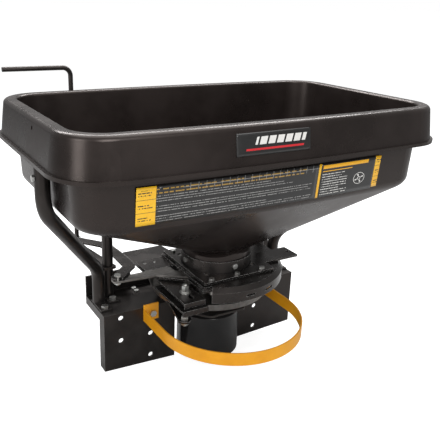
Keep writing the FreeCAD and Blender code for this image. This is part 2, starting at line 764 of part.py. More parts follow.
def build_neck_plate():
    """Plate round the neck with an ear to the right, on spacers over the housing plate."""
    t, top = D.plate, D.neck_plate_z
    low = top - t
    left, right, front, back = 3 - D.house_half, D.house_half + 3, D.house_front + 1, D.house_back - 4
    plan = [
        (left, front), (right, front), (right, D.ear_front), (D.ear_reach, D.ear_front),
        (D.ear_reach, D.ear_back), (right + 12, D.ear_back), (right, D.ear_back + 12),
        (right, back), (left, back),
    ]
    front_row, rear_row = stack_points()
    holes = [(0, D.hopper_y, D.neck_half + D.neck_play + D.neck_band + 3.2), (D.ear_reach - 10, -70, 4)]
    holes += [(x, y, M6 + 0.4) for x, y in front_row + rear_row]
    reliefs = [rod(x, y, low - 1, 5.4, t + 2) for x, y in band_screws()]
    node(cut(sheet_part(plan, low, top, holes, round_off=3), reliefs), "neck_plate")
    spacers, bolts = [], []
    under = rail_low() - t
    for row, foot in ((front_row, D.house_z + D.skirt_wall), (rear_row, D.house_z)):
        for x, y in row:
            tube = rod(x, y, foot, 6.5, low - foot)
            spacers.append(cut(tube, [rod(x, y, foot - 1, M6 + 0.4, 20)]))
            bolts.append(fastener(x, y, top, "Z", top - under + 9, M6, M6_HEAD, M6_THICK, (x, y, under)))
    node(group(spacers), "stack_spacers")
    node(group(bolts), "stack_bolts")


def gate_points():
    """Pull bar on the left, widening into the blade that covers the port."""
    edge = D.port_half + D.gate_overlap
    bar_back = D.pin_y + D.bar_wide / 2
    bar_front = D.pin_y - D.bar_wide / 2
    left = D.pin_x - 11
    heel = -D.gate_travel - 18
    waist = D.port_back + 3
    return [
        (left, bar_front), (left, bar_back), (heel, bar_back), (heel, D.gate_back), (edge, D.gate_back),
        (edge, D.gate_front), (-edge, D.gate_front), (-edge, waist - 12), (-edge - 38, waist - 20),
        (-128, bar_front - 8),
    ]


def build_gate():
    low = rail_low() + D.gap
    pin_hole = (D.pin_x, D.pin_y, D.pin_rad + 0.05)
    blade = sheet_part(gate_points(), low, low + D.plate, [pin_hole], round_off=5)
    node(blade, "gate_plate")
    top = D.crank_z + D.plate + 0.6
    pin = fastener(D.pin_x, D.pin_y, top, "Z", top - low + 7, D.pin_rad, 7, 4)
    nut = hexagon(D.pin_x, D.pin_y, low - 5, 7, 5)
    node(fuse([pin, nut]), "link_pin")


def build_skirt():
    """Part ring round the spinner's front and right; its flange is clamped by the front stack bolts."""
    r, w = D.skirt_rad, D.skirt_wall
    low, foot, top = D.skirt_low, D.house_z, D.house_z + w
    section = [
        (r - w, low), (r, low), (r, foot - 6), (r - 8, top), (90, top), (90, foot),
        (r - 9.5, foot), (r - w, foot - 7),
    ]
    ring = revolve(section, 0, D.axis_y, 174)
    ring.Placement.Rotation = FreeCAD.Rotation(FreeCAD.Vector(0, 0, 1), -119)
    clear = box(-200, D.house_half - 1, D.house_front + 21, 200, low - 2, top + 1)
    slots = [box(x, x + 22, -200, D.axis_y - 100, low + 8, low + 12) for x in (-8, 40)]
    drill = [rod(x, y, foot - 1, M6 + 0.4, 10) for x, y in stack_points()[0]]
    node(cut(ring, [clear] + slots + drill), "deflector_skirt")


# ---------------------------------------------------------------- spinner and motor

def revolve(profile, x, y, angle=360):
    """Closed half section about the vertical axis through x, y."""
    body = doc.addObject("PartDesign::Body", "Turned")
    sketch = body.newObject("Sketcher::SketchObject", "Section")
    base = [f for f in body.Origin.OriginFeatures if f.Role == "XZ_Plane"][0]
    sketch.AttachmentSupport = [(base, "")]
    sketch.MapMode = "FlatFace"
    draw_loop(sketch, profile)
    turn = body.newObject("PartDesign::Revolution", "Turn")
    turn.Profile = sketch
    turn.ReferenceAxis = (sketch, ["V_Axis"])
    turn.Angle = angle
    for axis, size in (("x", x), ("y", y)):
        body.setExpression(f"Placement.Base.{axis}", Size.of(size).text)
    return body


def build_spinner():
    """Shallow dish with radial fins on a hub, all turning with the drive shaft."""
    z, w = D.spin_z, D.spin_wall
    top = z + D.spin_high
    bore = D.shaft_rad + 0.02
    dish = [
        (bore, z), (D.spin_foot, z), (D.spin_rad, top), (D.spin_rad - w, top),
        (D.spin_foot - w, z + w), (bore, z + w),
    ]
    node(revolve(dish, 0, D.axis_y), "spinner_dish")
    fins = []
    for k in range(6):
        fin = box(30, D.spin_foot - 8, -1.25, 1.25, z + w, z + w + 16)
        foot = box(30, D.spin_foot - 8, 1.25, 11, z + w, z + w + 2)
        blade = fuse([fin, foot])
        blade.Placement = FreeCAD.Placement(
            FreeCAD.Vector(0, D.axis_y.value, 0), FreeCAD.Rotation(FreeCAD.Vector(0, 0, 1), 60 * k + 18))
        bind(blade, "Placement.Base.y", D.axis_y)
        fins.append(blade)
    node(group(fins), "spinner_fins")
    top = z + w
    hub = [(bore, top), (26, top), (26, top + 5), (13, top + 8), (13, top + 24), (bore, top + 24)]
    node(revolve(hub, 0, D.axis_y), "spinner_hub")
    low = D.shelf_top - 10
    node(rod(0, D.axis_y, low, D.shaft_rad, D.neck_z - low), "drive_shaft")
    arms = [rod(0, D.axis_y, D.neck_z - 24, 10, 18)]
    for k, reach in ((0, 34), (1, 34)):
        arm = rod(0, 0, 0, 2.5, reach, "X")
        arm.Placement = FreeCAD.Placement(
            FreeCAD.Vector(0, D.axis_y.value, D.neck_z.value - 18 + 7 * k),
            FreeCAD.Rotation(FreeCAD.Vector(0, 0, 1), 25 + 180 * k).multiply(TURNS["X"]))
        bind(arm, "Placement.Base.y", D.axis_y)
        bind(arm, "Placement.Base.z", D.neck_z - 18 + 7 * k)
        arms.append(arm)
    bore_tool = rod(0, D.axis_y, D.neck_z - 40, bore, 60)
    node(cut(fuse(arms), [bore_tool]), "agitator")


def build_motor():
    """Motor under the shelf inside a pressed can, on its own plate."""
    t = D.plate
    plate_top = D.shelf_top - t
    bore = D.shaft_rad + D.run_fit
    corners = [(-64, -62), (-40, -92), (40, -92), (64, -62), (64, 58), (-64, 58)]
    holes = [(0, D.axis_y, 13)] + [(x, y, M8 + 0.4) for x, y in motor_bolt_points()]
    holes += [(x, y, M6 + 0.4) for x, y in motor_screws()]
    node(sheet_part(corners, plate_top - t, plate_top, holes, round_off=6), "motor_plate")
    low = plate_top - t
    neck = D.can_top
    can = [
        (0, D.can_low), (D.can_rad, D.can_low), (D.can_rad, neck), (D.can_rad - 9, neck + 8),
        (24, neck + 8), (24, neck + 8 - D.can_wall), (D.can_rad - 10, neck + 8 - D.can_wall),
        (D.can_rad - D.can_wall, neck - 1), (D.can_rad - D.can_wall, D.can_low + D.can_wall),
        (0, D.can_low + D.can_wall),
    ]
    node(revolve(can, 0, D.axis_y), "motor_can")
    body = rod(0, D.axis_y, D.can_low + 12, 40, neck - D.can_low - 12)
    node(body, "motor")
    flange = [(bore, neck), (22, neck), (22, low - 3), (34, low - 3), (34, low), (12, low),
              (12, low + t + 3), (bore, low + t + 3)]
    drill = [rod(x, y, low - 10, M6 + 0.1, 30) for x, y in motor_screws()]
    node(cut(revolve(flange, 0, D.axis_y), drill), "motor_flange")
    screws = [fastener(x, y, plate_top, "Z", t + 3, M6, M6_HEAD, M6_THICK) for x, y in motor_screws()]
    node(group(screws), "motor_screws")
    bolts = []
    for x, y in motor_bolt_points():
        bolts.append(fastener(x, y, D.shelf_top, "Z", 14, M8, M8_HEAD, M8_THICK, (x, y, low)))
    node(group(bolts), "motor_plate_bolts")
    gland = [
        rod(0, D.axis_y + D.can_rad - 1, 10, 8, 9, "Y"),
        rod(0, D.axis_y + D.can_rad + 8, 10, 5.5, 5, "Y"),
    ]
    node(cut(fuse(gland), [rod(0, D.axis_y + D.can_rad - 3, 10, 3, 30, "Y"),
                           rod(0, D.axis_y, D.can_low, D.can_rad + 0.01, 200)]), "cable_gland")


def motor_screws():
    return [(28 * math.cos(a), D.axis_y + 28 * math.sin(a)) for a in (0.785, 2.356, 3.927, 5.498)]


# ---------------------------------------------------------------- tray and its support

def build_tray():
    """Sliding pattern tray with a slot, on a fixed support, clamped on the support stud."""
    t = 3
    left, right, front, back = D.tray_left, D.tray_right, D.tray_front, D.tray_back
    slot_r = D.stud_rad + D.gap
    low = D.tray_z - t
    top = box(left, right, front, back, low, D.tray_z)
    lip = box(left, right, front, front + t, D.tray_z - D.tray_lip, D.tray_z)
    slot = [
        rod(D.stud_x, D.stud_y, low - 1, slot_r, t + 2),
        rod(D.stud_x, D.stud_y - D.tray_travel, low - 1, slot_r, t + 2),
        box(D.stud_x - slot_r, D.stud_x + slot_r, D.stud_y - D.tray_travel, D.stud_y,
            low - 1, D.tray_z + 1),
    ]
    node(cut(fuse([top, lip]), slot), "pattern_tray")
    base_low = D.shelf_tray_z - t
    wide = 7
    base = box(left - wide, right + 4, front - wide, back + 2, base_low, D.shelf_tray_z)
    lip_foot = D.shelf_tray_z - D.tray_lip
    base_lip = box(left - wide, right + 4, front - wide, front - wide + t, lip_foot, D.shelf_tray_z)
    hole = rod(D.stud_x, D.stud_y, base_low - 1, D.stud_rad + 0.3, t + 2)
    node(cut(fuse([base, base_lip]), [hole]), "tray_support")

    arm_low = D.shelf_top + 6
    arm_top = arm_low + D.plate
    node(rod(D.stud_x, D.stud_y, arm_low - 9, D.stud_rad, D.house_z + 3 - arm_low + 8), "support_stud")
    nuts = [
        hexagon(D.stud_x, D.stud_y, arm_top, M8_HEAD, 6.5),
        hexagon(D.stud_x, D.stud_y, arm_low - 6, M8_HEAD, 6),
        hexagon(D.stud_x, D.stud_y, base_low - 6.5, M8_HEAD, 6.5),
        hexagon(D.stud_x, D.stud_y, D.shelf_tray_z, M8_HEAD, low - D.shelf_tray_z - 0.2),
    ]
    drill = rod(D.stud_x, D.stud_y, 0, D.stud_rad, 200)
    node(cut(group(nuts), [drill]), "stud_nuts")
    washer = rod(D.stud_x, D.stud_y, D.tray_z + 0.2, 11, 1.6)
    lower = hexagon(D.stud_x, D.stud_y, D.tray_z + 1.8, M8_HEAD, 6.5)
    upper = hexagon(D.stud_x, D.stud_y, D.tray_z + 8.3, M8_HEAD, 6.5)
    node(cut(fuse([washer, lower, upper]), [drill]), "clamp_nuts")
    bar = [
        (-98, 40), (-98, -10), (-113, -84), (-118, -102), (-104, -114), (-91, -104), (-74, -10), (-74, 40),
    ]
    holes = [(D.stud_x, D.stud_y, D.stud_rad + 0.3)] + [(x, y, M6 + 0.4) for x, y in arm_points()]
    node(sheet_part(bar, arm_low, arm_top, holes, round_off=5), "outrigger_arm")
    bolts, rings = [], []
    under = D.shelf_top - D.plate
    for x, y in arm_points():
        ring = rod(x, y, D.shelf_top, 9, arm_low - D.shelf_top)
        rings.append(cut(ring, [rod(x, y, D.shelf_top - 1, M6 + 0.4, 10)]))
        reach = arm_top - under + 8
        bolts.append(fastener(x, y, arm_top, "Z", reach, M6, M6_HEAD, M6_THICK, (x, y, under)))
    node(group(rings), "outrigger_spacers")
    node(group(bolts), "outrigger_bolts")
    loose = [
        fastener(x, y, D.shelf_top, "Z", 12, M6, M6_HEAD, M6_THICK, (x, y, under))
        for x, y in clip_points()
    ]
    node(group(loose), "shelf_screws")


# ---------------------------------------------------------------- control rod

def build_control():
    """Cranked rod, its two guides, and the crank arm that reaches round the left upright."""
    x, y = D.rod_x, D.rod_y
    points = [(x, y, D.rod_low), (x, y, D.rod_top), (x - D.handle_long, y, D.rod_top)]
    shape_node("control_rod", bent_tube(points, D.rod_rad, D.handle_bend))
    t = D.plate
    half = D.arm_wide / 2
    bend = [(x, y), (-168, 150), (-163, 96), (-164, 26), (D.pin_x, D.pin_y)]
    outline_points = offset_path(bend, half)
    arm = sheet_part(outline_points, D.crank_z, D.crank_z + t, [(x, y, D.rod_rad + 0.02)], round_off=9)
    reach, lean = D.rod_y - D.pin_y, D.pin_x - D.rod_x
    slot_long = D.gate_travel * D.gate_travel / (reach * 2) + 4
    slot = fuse([
        rod(0, 0, 0, D.pin_rad + D.pin_play, t + 2),
        rod(0, -slot_long, 0, D.pin_rad + D.pin_play, t + 2),
        box(-D.pin_rad - D.pin_play, D.pin_rad + D.pin_play, -slot_long, 0, 0, t + 2),
    ])
    slot.Placement.Rotation = FreeCAD.Rotation(math.degrees(math.atan2(lean.value, reach.value)), 0, 0)
    for axis, size in (("x", D.pin_x), ("y", D.pin_y + 1), ("z", D.crank_z - 1)):
        bind(slot, f"Placement.Base.{axis}", size)
    node(cut(arm, [slot]), "crank_arm")
    low_guide_top = D.crank_z - 9
    collars = [
        hexagon(x, y, D.crank_z - 6, 8.5, 6), hexagon(x, y, D.crank_z + t, 8.5, 6),
    ]
    node(cut(group(collars), [rod(x, y, 0, D.rod_rad, 300)]), "crank_nuts")
    ux, uy = -D.upright_x, D.upright_y
    strap = [
        (x - 13, y + 14), (x - 13, y - 20), (ux - 15, uy - 15),
        (ux + 15, uy - 15), (x + 13, y - 20), (x + 13, y + 14),
    ]
    strap[3] = (ux + 15, uy - 15)
    strap[4] = (x + 14, y - 20)
    guide = sheet_part(strap, low_guide_top - 5, low_guide_top,
                       [(x, y, D.rod_rad + D.run_fit), (ux, uy, D.upright_rad + 0.05)], round_off=5)
    node(guide, "rod_lower_guide")
    band_y = D.hopper_y + D.hopper_wide / 2
    upper = [
        (x - 14, band_y - 4), (x + 14, band_y - 4), (x + 12, y + 12), (x - 12, y + 12),
    ]
    z = D.lip_z + 34
    hanger = sheet_part(upper, z, z + t, [(x, y, D.rod_rad + D.run_fit)])
    back = box(x - 20, x + 20, band_y - 12, band_y + 4, z - 14, z + 18)
    band_foot = hopper_plan(D.lip_ledge - 0.2, D.lip_z)
    band_cut = loft([band_foot, hopper_plan(D.lip_ledge + D.band_lean - 0.2, D.rim_z)])
    node(cut(fuse([hanger, back]), [band_cut]), "rod_upper_guide")


def offset_path(points, half):
    """Outline of a strip of constant width along a bent centre line, with square ends."""
    pts = [(Size.of(a), Size.of(b)) for a, b in points]
    num = [FreeCAD.Vector(a.value, b.value, 0) for a, b in pts]
    left, right = [], []
    for k, p in enumerate(num):
        ahead = (num[min(k + 1, len(num) - 1)] - p)
        behind = (p - num[max(k - 1, 0)])
        ahead = ahead.normalize() if ahead.Length else FreeCAD.Vector(behind).normalize()
        behind = behind.normalize() if behind.Length else FreeCAD.Vector(ahead)
        side = FreeCAD.Vector(-(ahead + behind).y, (ahead + behind).x, 0).normalize()
        scale = 1 / max(0.5, side.dot(FreeCAD.Vector(-ahead.y, ahead.x, 0)))
        slip = FreeCAD.Vector()
        if k == 0:
            slip = ahead * -1
        if k == len(num) - 1:
            slip = behind
        sx, sy = half * (side.x * scale), half * (side.y * scale)
        ex, ey = half * slip.x, half * slip.y
        left.append((pts[k][0] + sx + ex, pts[k][1] + sy + ey))
        right.append((pts[k][0] - sx + ex, pts[k][1] - sy + ey))
    return left + right[::-1]


# ---------------------------------------------------------------- guard hoop

def build_hoop():
    """Bent strap guard: tab, straight run, half circle, straight run, tab."""
    half, t = D.hoop_half, D.hoop_thick
    y0 = -D.plate
    turn_y = y0 - D.hoop_run
    low, high = D.hoop_low, D.hoop_low + D.hoop_high
    outer = rod(0, turn_y, low, half, D.hoop_high)
    ring = cut(outer, [rod(0, turn_y, low - 1, half - t, D.hoop_high + 2),
                       box(-half - 1, half + 1, turn_y, turn_y + 400, low - 1, high + 1)])
    parts = [ring]
    for side in (-1, 1):
        x0, x1 = (-half, -half + t) if side < 0 else (half - t, half)
        parts.append(box(x0, x1, turn_y, y0, low, high))
        tab0, tab1 = (-half, -half + D.tab_long) if side < 0 else (half - D.tab_long, half)
        tab = box(tab0, tab1, y0 - t, y0, low, low + D.tab_high)
        parts.append(tab)
    holes = [rod(x, 5, tab_bolt_z(), TAB_BOLT + 0.4, 30, "-Y") for x in mirrored(tab_bolt_x())]
    node(cut(fuse(parts), holes), "guard_hoop")
    bolts = [
        fastener(x, y0 - t, tab_bolt_z(), "-Y", D.plate + t + 9, TAB_BOLT, M8_HEAD, M8_THICK,
                 (x, 0, tab_bolt_z()))
        for x in mirrored(tab_bolt_x())
    ]
    node(group(bolts), "hoop_bolts")


# ---------------------------------------------------------------- build and write

hopper_solid = build_hopper()
build_bracket()
build_tubes()
build_pads(hopper_solid)
build_housing()
build_gate()
build_skirt()
build_spinner()
build_motor()
build_tray()
build_control()
build_hoop()
doc.recompute()

for item in doc.Objects:
    if "Invalid" in item.State or "Error" in item.State:
        raise RuntimeError(f"{item.Label} did not build: {item.State}")
os.makedirs("parts", exist_ok=True)
for item in NODES:
    if item.Shape.isNull() or not item.Shape.isValid():
        raise RuntimeError(f"{item.Label} has no valid shape")
    print(f"{item.Label:22s} solids {len(item.Shape.Solids)}  volume {item.Shape.Volume:10.0f}")
    item.Shape.exportStep(f"parts/{item.Label}.step")
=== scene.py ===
"""Looks of the mounted broadcast spreader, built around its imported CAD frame."""

import math

import bpy
import numpy as np
from mathutils import Matrix, Vector


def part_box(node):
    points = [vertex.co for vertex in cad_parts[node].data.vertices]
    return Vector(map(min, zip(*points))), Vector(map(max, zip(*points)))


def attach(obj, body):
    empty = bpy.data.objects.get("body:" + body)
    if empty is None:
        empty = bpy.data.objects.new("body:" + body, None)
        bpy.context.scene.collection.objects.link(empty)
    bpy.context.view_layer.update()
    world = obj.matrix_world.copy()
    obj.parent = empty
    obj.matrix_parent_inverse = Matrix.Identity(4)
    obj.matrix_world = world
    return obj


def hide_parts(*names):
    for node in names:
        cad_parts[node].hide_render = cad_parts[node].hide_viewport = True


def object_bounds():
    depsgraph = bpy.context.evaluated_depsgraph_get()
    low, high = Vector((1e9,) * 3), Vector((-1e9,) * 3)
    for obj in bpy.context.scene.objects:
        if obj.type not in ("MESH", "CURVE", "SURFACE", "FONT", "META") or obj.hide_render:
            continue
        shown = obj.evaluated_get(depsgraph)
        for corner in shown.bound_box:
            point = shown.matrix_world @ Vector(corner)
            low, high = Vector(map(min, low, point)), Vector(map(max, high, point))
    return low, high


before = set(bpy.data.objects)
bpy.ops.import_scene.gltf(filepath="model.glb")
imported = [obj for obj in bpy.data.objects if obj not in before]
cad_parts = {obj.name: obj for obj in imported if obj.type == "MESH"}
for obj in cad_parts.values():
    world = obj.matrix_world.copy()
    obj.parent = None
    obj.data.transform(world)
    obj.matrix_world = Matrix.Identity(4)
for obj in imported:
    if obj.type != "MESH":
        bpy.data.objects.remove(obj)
cad_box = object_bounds()
MM = 0.001

# ---------------------------------------------------------------- sizes from the CAD, in metres
WALL_TOP_Z = 0.412        # body wall, just under the ledge of the rim band
WALL_FOOT_Z = 0.328
WALL_TOP_Y = -0.2390      # body wall's front face at mid length
WALL_FOOT_Y = -0.2320
BAND_FOOT_Z = 0.418       # rim band
BAND_TOP_Z = 0.480
BAND_FOOT_Y = -0.2650
BAND_TOP_Y = -0.2560
BOW_RADIUS = 6.3          # the long walls bulge on this radius
DECAL_PROUD = 0.00045     # print's outer face off the wall
DECAL_THICK = 0.00030

# ---------------------------------------------------------------- colours, linear
POLY_DARK = (0.0095, 0.0072, 0.0066, 1)
POLY_LIGHT = (0.0175, 0.0132, 0.0122, 1)
COAT_DARK = (0.0070, 0.0066, 0.0064, 1)
COAT_LIGHT = (0.0150, 0.0142, 0.0138, 1)
MOTOR_DARK = (0.0060, 0.0058, 0.0060, 1)
MOTOR_LIGHT = (0.0120, 0.0116, 0.0116, 1)
STEEL_DARK = (0.34, 0.32, 0.30, 1)
STEEL_LIGHT = (0.62, 0.60, 0.57, 1)
GATE_DARK = (0.16, 0.15, 0.14, 1)
GATE_LIGHT = (0.42, 0.40, 0.38, 1)
SPINNER_DARK = (0.20, 0.19, 0.18, 1)
SPINNER_LIGHT = (0.40, 0.38, 0.36, 1)
ZINC_DARK = (0.48, 0.48, 0.46, 1)
ZINC_LIGHT = (0.80, 0.80, 0.78, 1)
ORANGE_DARK = (0.80, 0.320, 0.006, 1)
ORANGE_LIGHT = (0.95, 0.420, 0.012, 1)
RUBBER_DARK = (0.010, 0.010, 0.010, 1)
RUBBER_LIGHT = (0.022, 0.021, 0.020, 1)
DUST = (0.16, 0.14, 0.12, 1)
BARE_EDGE = (0.55, 0.53, 0.50, 1)
WARM = (1.0, 0.86, 0.80, 1)          # tint of the black plastic's and the coat's gloss
LABEL_YELLOW = (0.95, 0.47, 0.008, 1)
LABEL_OCHRE = (0.40, 0.23, 0.03, 1)
LABEL_WHITE = (0.78, 0.77, 0.74, 1)
LABEL_GREY = (0.36, 0.355, 0.345, 1)
LABEL_BLACK = (0.0080, 0.0078, 0.0076, 1)
LABEL_RED = (0.62, 0.018, 0.026, 1)


# ---------------------------------------------------------------- node helpers
class Net:
    """A shader node tree with short calls: each adds a node and gives back its output."""

    def __init__(self, tree):
        self.tree = tree

    def put(self, socket, value):
        if isinstance(value, bpy.types.NodeSocket):
            self.tree.links.new(value, socket)
        elif value is not None:
            socket.default_value = value

    def add(self, kind, inputs=(), **settings):
        node = self.tree.nodes.new("ShaderNode" + kind)
        for key, value in settings.items():
            setattr(node, key, value)
        for key, value in dict(inputs).items():
            self.put(node.inputs[key], value)
        return node

    def maths(self, operation, a, b=None, c=None, clamp=False):
        node = self.add("Math", operation=operation, use_clamp=clamp)
        for socket, value in zip(node.inputs, (a, b, c)):
            self.put(socket, value)
        return node.outputs[0]

    def vector(self, operation, a, b=None):
        node = self.add("VectorMath", operation=operation)
        self.put(node.inputs[0], a)
        self.put(node.inputs[1], b)
        return node.outputs["Value" if operation == "DOT_PRODUCT" else "Vector"]

    def noise(self, vector, scale, detail=2.0, rough=0.5):
        sockets = {"Vector": vector, "Scale": scale, "Detail": detail, "Roughness": rough}
        return self.add("TexNoise", sockets).outputs["Fac"]

    def ramp(self, value, low, high, start=0.0, end=1.0):
        sockets = {"Value": value, "From Min": low, "From Max": high, "To Min": start, "To Max": end}
        return self.add("MapRange", sockets, clamp=True, interpolation_type="SMOOTHSTEP").outputs[0]

    def mix(self, factor, a, b):
        node = self.add("Mix", data_type="RGBA")
        self.put(node.inputs[0], factor)
        self.put(node.inputs[6], a)
        self.put(node.inputs[7], b)
        return node.outputs[2]

    def group(self, tree, **inputs):
        node = self.tree.nodes.new("ShaderNodeGroup")
        node.node_tree = tree
        for key, value in inputs.items():
            self.put(node.inputs[key.replace("_", " ")], value)
        return node.outputs


def new_group(name, inputs, outputs):
    """A node group with named sockets: gives its tree, its net, its input sockets and its output node."""
    tree = bpy.data.node_groups.new(name, "ShaderNodeTree")
    for label, kind, value in inputs:
        socket = tree.interface.new_socket(label, in_out="INPUT", socket_type="NodeSocket" + kind)
        if value is not None:
            socket.default_value = value
    for label, kind in outputs:
        tree.interface.new_socket(label, in_out="OUTPUT", socket_type="NodeSocket" + kind)
    given = tree.nodes.new("NodeGroupInput").outputs
    result = tree.nodes.new("NodeGroupOutput").inputs
    return tree, Net(tree), given, result


def make_edge_group():
    """Mask of the edges: how far the normal rounded over a radius leans from the flat one, broken up by noise. Its
    mask lays worn edges, and on the cut sheet a painted highlight along the edges.
    """
    tree, net, given, result = new_group(
        "edge wear",
        [("Vector", "Vector", None), ("Radius", "Float", 0.001), ("Breakup", "Float", 90.0),
         ("Amount", "Float", 0.5)],
        [("Mask", "Float"), ("Normal", "Vector")],
    )
    rounded = net.add("Bevel", {"Radius": given["Radius"]}, samples=6).outputs["Normal"]
    flat = net.add("NewGeometry").outputs["Normal"]
    lean = net.maths("SUBTRACT", 1.0, net.vector("DOT_PRODUCT", rounded, flat))
    edge = net.ramp(lean, 0.05, 0.24)
    broken = net.ramp(net.noise(given["Vector"], given["Breakup"], 4.0, 0.65), 0.30, 0.56, 0.25, 1.0)
    mask = net.maths("MULTIPLY", net.maths("MULTIPLY", edge, broken), given["Amount"], clamp=True)
    net.put(result["Mask"], mask)
    net.put(result["Normal"], rounded)
    return tree


def make_skin_group():
    """Skin of a moulding or a coat: fine orange peel on a slow swell, and a tone that drifts over the surface."""
    tree, net, given, result = new_group(
        "skin grain",
        [("Vector", "Vector", None), ("Peel", "Float", 600.0), ("Swell", "Float", 25.0),
         ("Share", "Float", 0.5)],
        [("Height", "Float"), ("Tone", "Float")],
    )
    fine = net.noise(given["Vector"], given["Peel"], 3.0, 0.55)
    slow = net.noise(given["Vector"], given["Swell"], 2.0, 0.5)
    both = net.add("Mix", {0: given["Share"], 2: fine, 3: slow}, data_type="FLOAT").outputs[0]
    net.put(result["Height"], both)
    drift = net.noise(given["Vector"], net.maths("MULTIPLY", given["Swell"], 0.4), 5.0, 0.6)
    net.put(result["Tone"], net.ramp(drift, 0.3, 0.7))
    return tree


def make_brush_group():
    """Brushed metal: noise drawn out along one direction, as tone and as height, with a few deeper scratches."""
    tree, net, given, result = new_group(
        "brushed lines",
        [("Vector", "Vector", None), ("Stretch", "Vector", (1.0, 1.0, 1.0)), ("Scale", "Float", 40.0)],
        [("Height", "Float"), ("Tone", "Float")],
    )
    drawn = net.vector("MULTIPLY", given["Vector"], given["Stretch"])
    lines = net.noise(drawn, given["Scale"], 4.0, 0.7)
    deep = net.ramp(net.noise(drawn, net.maths("MULTIPLY", given["Scale"], 2.3), 2.0, 0.6), 0.62, 0.72)
    cloud = net.noise(given["Vector"], 22.0, 3.0, 0.6)
    net.put(result["Height"], net.maths("SUBTRACT", lines, net.maths("MULTIPLY", deep, 0.35)))
    net.put(result["Tone"], net.maths("MULTIPLY", net.ramp(lines, 0.25, 0.75), net.ramp(cloud, 0.2, 0.75)))
    return tree


def make_dust_group():
    """Dust: noise kept to the faces that look up."""
    tree, net, given, result = new_group(
        "settled dust",
        [("Vector", "Vector", None), ("Amount", "Float", 0.2)],
        [("Mask", "Float")],
    )
    up = net.add("SeparateXYZ", {"Vector": net.add("NewGeometry").outputs["Normal"]}).outputs["Z"]
    spots = net.ramp(net.noise(given["Vector"], 60.0, 6.0, 0.7), 0.35, 0.8)
    mask = net.maths("MULTIPLY", net.ramp(up, 0.2, 0.95), spots)
    net.put(result["Mask"], net.maths("MULTIPLY", mask, given["Amount"], clamp=True))
    return tree


def make_rows_group():
    """Rows of dashes: a row where the height in the pitch is small, a dash where noise along the row is high,
    cut off at a length that differs from row to row. The map is in millimetres."""
    tree, net, given, result = new_group(
        "printed rows",
        [("U", "Float", 0.0), ("V", "Float", 0.0), ("Pitch", "Float", 3.0), ("Height", "Float", 0.4),
         ("Width", "Float", 100.0), ("Dash", "Float", 0.6)],
        [("Mask", "Float")],
    )
    row = net.maths("FLOOR", net.maths("DIVIDE", given["V"], given["Pitch"]))
    within = net.maths("FRACT", net.maths("DIVIDE", given["V"], given["Pitch"]))
    line = net.maths("LESS_THAN", within, given["Height"])
    place = net.add("CombineXYZ", {"X": net.maths("MULTIPLY", given["U"], given["Dash"]),
                                   "Y": net.maths("MULTIPLY", row, 7.31)}).outputs[0]
    dash = net.maths("GREATER_THAN", net.noise(place, 1.0, 0.0), 0.43)
    start = net.add("CombineXYZ", {"Y": net.maths("MULTIPLY", row, 3.77)}).outputs[0]
    length = net.maths("MULTIPLY", net.ramp(net.noise(start, 1.0, 0.0), 0.25, 0.6, 0.55, 1.0), given["Width"])
    inside = net.maths("LESS_THAN", given["U"], length)
    net.put(result["Mask"], net.maths("MULTIPLY", net.maths("MULTIPLY", line, dash), inside))
    return tree


EDGE = make_edge_group()
SKIN = make_skin_group()
BRUSH = make_brush_group()
SETTLED = make_dust_group()
ROWS = make_rows_group()


# ---------------------------------------------------------------- materials
def shader(name, **fixed):
    """A material with one Principled shader: its net, its shader node and its Object coordinates."""
    material = bpy.data.materials.new(name)
    material.use_nodes = True
    net = Net(material.node_tree)
    principled = material.node_tree.nodes["Principled BSDF"]
    for key, value in fixed.items():
        principled.inputs[key.replace("_", " ")].default_value = value
    where = net.add("TexCoord").outputs["Object"]
    return material, net, principled, where


def coated(name, dark, light, rough, peel, swell, depth, wear_and_highlight, dust, share=0.4, worn_and_highlit_edge=BARE_EDGE,
           radius=0.0012, rounded=True, **fixed):
    """Paint, powder coat, moulded plastic or rubber: skin grain, worn edges and settled dust. On the cut sheet the
    edge colour is near white: bare worn steel with a painted highlight along the edges.
    """
    material, net, principled, where = shader(name, **fixed)
    skin = net.group(SKIN, Vector=where, Peel=peel, Swell=swell, Share=share)
    edge = net.group(EDGE, Vector=where, Radius=radius, Breakup=110.0, Amount=wear_and_highlight)
    settled = net.group(SETTLED, Vector=where, Amount=dust)
    colour = net.mix(skin["Tone"], dark, light)
    # edge colour: worn bare edges, and on the cut sheet a near-white painted highlight along the edges
    colour = net.mix(edge["Mask"], colour, worn_and_highlit_edge)
    colour = net.mix(settled["Mask"], colour, DUST)
    net.put(principled.inputs["Base Color"], colour)
    roughness = net.ramp(skin["Tone"], 0.0, 1.0, rough - 0.05, rough + 0.06)
    roughness = net.maths("ADD", roughness, net.maths("MULTIPLY", settled["Mask"], 0.5))
    net.put(principled.inputs["Roughness"], roughness)
    bump = net.add("Bump", {"Strength": 0.5, "Distance": depth, "Height": skin["Height"]})
    if rounded:
        net.put(bump.inputs["Normal"], edge["Normal"])
    net.put(principled.inputs["Normal"], bump.outputs[0])
    return material


def plated(name, dark, light, rough, stretch, scale, depth, spread=0.16, radius=0.0006, **fixed):
    """Bare or plated metal: brushed lines in tone, roughness and height, on softened edges."""
    material, net, principled, where = shader(name, Metallic=1.0, **fixed)
    brush = net.group(BRUSH, Vector=where, Stretch=stretch, Scale=scale)
    edge = net.group(EDGE, Vector=where, Radius=radius, Breakup=60.0, Amount=0.35)
    colour = net.mix(brush["Tone"], dark, light)
    net.put(principled.inputs["Base Color"], net.mix(edge["Mask"], colour, (0.9, 0.89, 0.87, 1)))
    net.put(principled.inputs["Roughness"], net.ramp(brush["Tone"], 0.0, 1.0, rough + spread, rough))
    bump = net.add("Bump", {"Strength": 0.4, "Distance": depth, "Height": brush["Height"],
                            "Normal": edge["Normal"]})
    net.put(principled.inputs["Normal"], bump.outputs[0])
    return material


